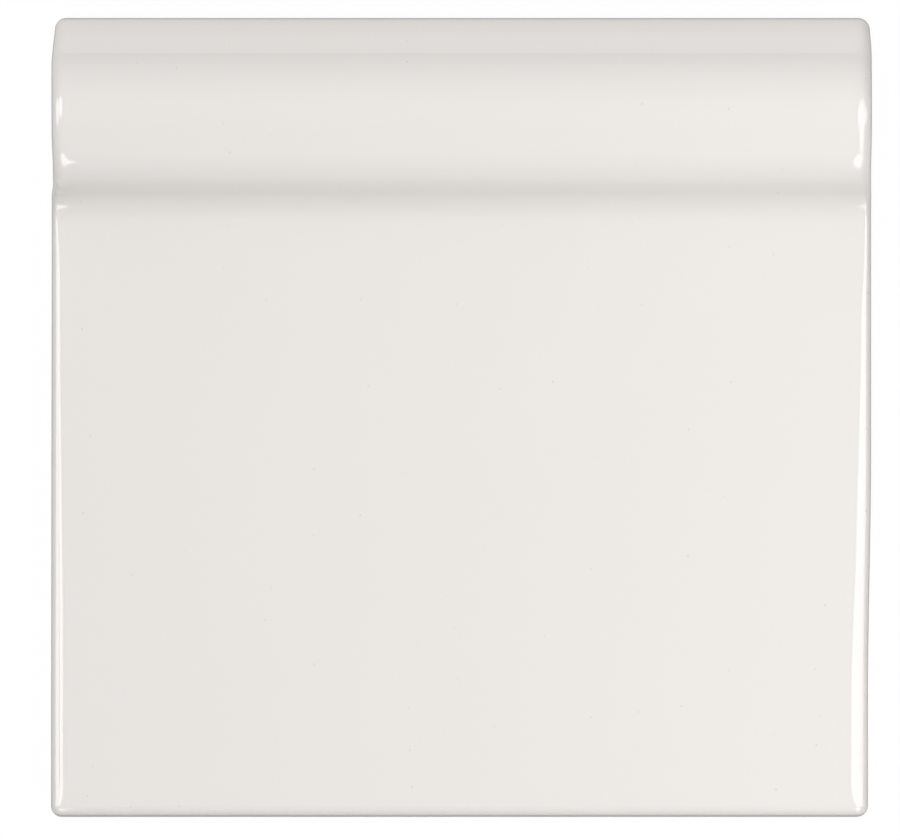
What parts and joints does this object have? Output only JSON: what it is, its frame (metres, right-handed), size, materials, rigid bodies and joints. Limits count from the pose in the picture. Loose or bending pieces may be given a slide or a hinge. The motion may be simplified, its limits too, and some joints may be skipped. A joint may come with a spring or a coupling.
{
  "type": "skirting tile",
  "caption": "Square glazed ceramic skirting tile: a flat plate with a rounded moulding along its top edge and a keyed, unglazed back.",
  "frame": {"origin": "under the middle of the tile's outline, in the plane of its back", "axes": "+X along the wall, +Y towards the moulded top edge, +Z out of the glazed face"},
  "size_m": [0.152, 0.148, 0.018],
  "materials": {
    "glazed_tile": "gloss cream glaze on the face and its arrises, bare fired biscuit on the back and the edges"
  },
  "bodies": {
    "root": {"skirting_tile": "glazed_tile"}
  },
  "joints": []
}
